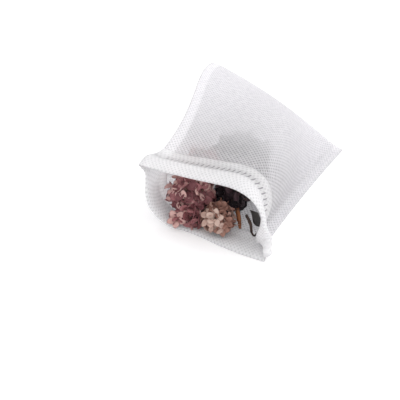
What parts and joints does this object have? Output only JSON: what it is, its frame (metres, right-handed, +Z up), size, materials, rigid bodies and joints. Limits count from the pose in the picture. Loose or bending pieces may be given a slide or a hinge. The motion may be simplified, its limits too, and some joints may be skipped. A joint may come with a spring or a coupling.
{
  "type": "tea filter bag",
  "caption": "Open nonwoven tea filter bag lying on its side, with a hemmed mouth, sealed side seams, a folded closed end and a filling of dried flowers.",
  "frame": {"origin": "middle of the lying bag's footprint, on the surface it rests on", "axes": "+X across the bag to its right seam as seen from the mouth, +Y from the mouth to the closed end, +Z up"},
  "size_m": [0.074, 0.0994, 0.0362],
  "materials": {
    "nonwoven": "matte bonded fibre, slightly see-through",
    "mauve_petals": "dry, matte",
    "pink_petals": "dry, matte",
    "dark_petals": "dry, matte",
    "brown_stalk": "dry, matte",
    "dark_stalk": "dry, matte",
    "leaf": "dry, matte"
  },
  "bodies": {
    "root": {"filter_bag": "nonwoven", "mauve_flowers": "mauve_petals", "pink_flowers": "pink_petals", "dark_flowers": "dark_petals", "fallen_petals": "mauve_petals", "small_bud": "mauve_petals", "brown_stem": "brown_stalk", "dark_stem": "dark_stalk", "dark_leaf": "leaf"}
  },
  "joints": []
}
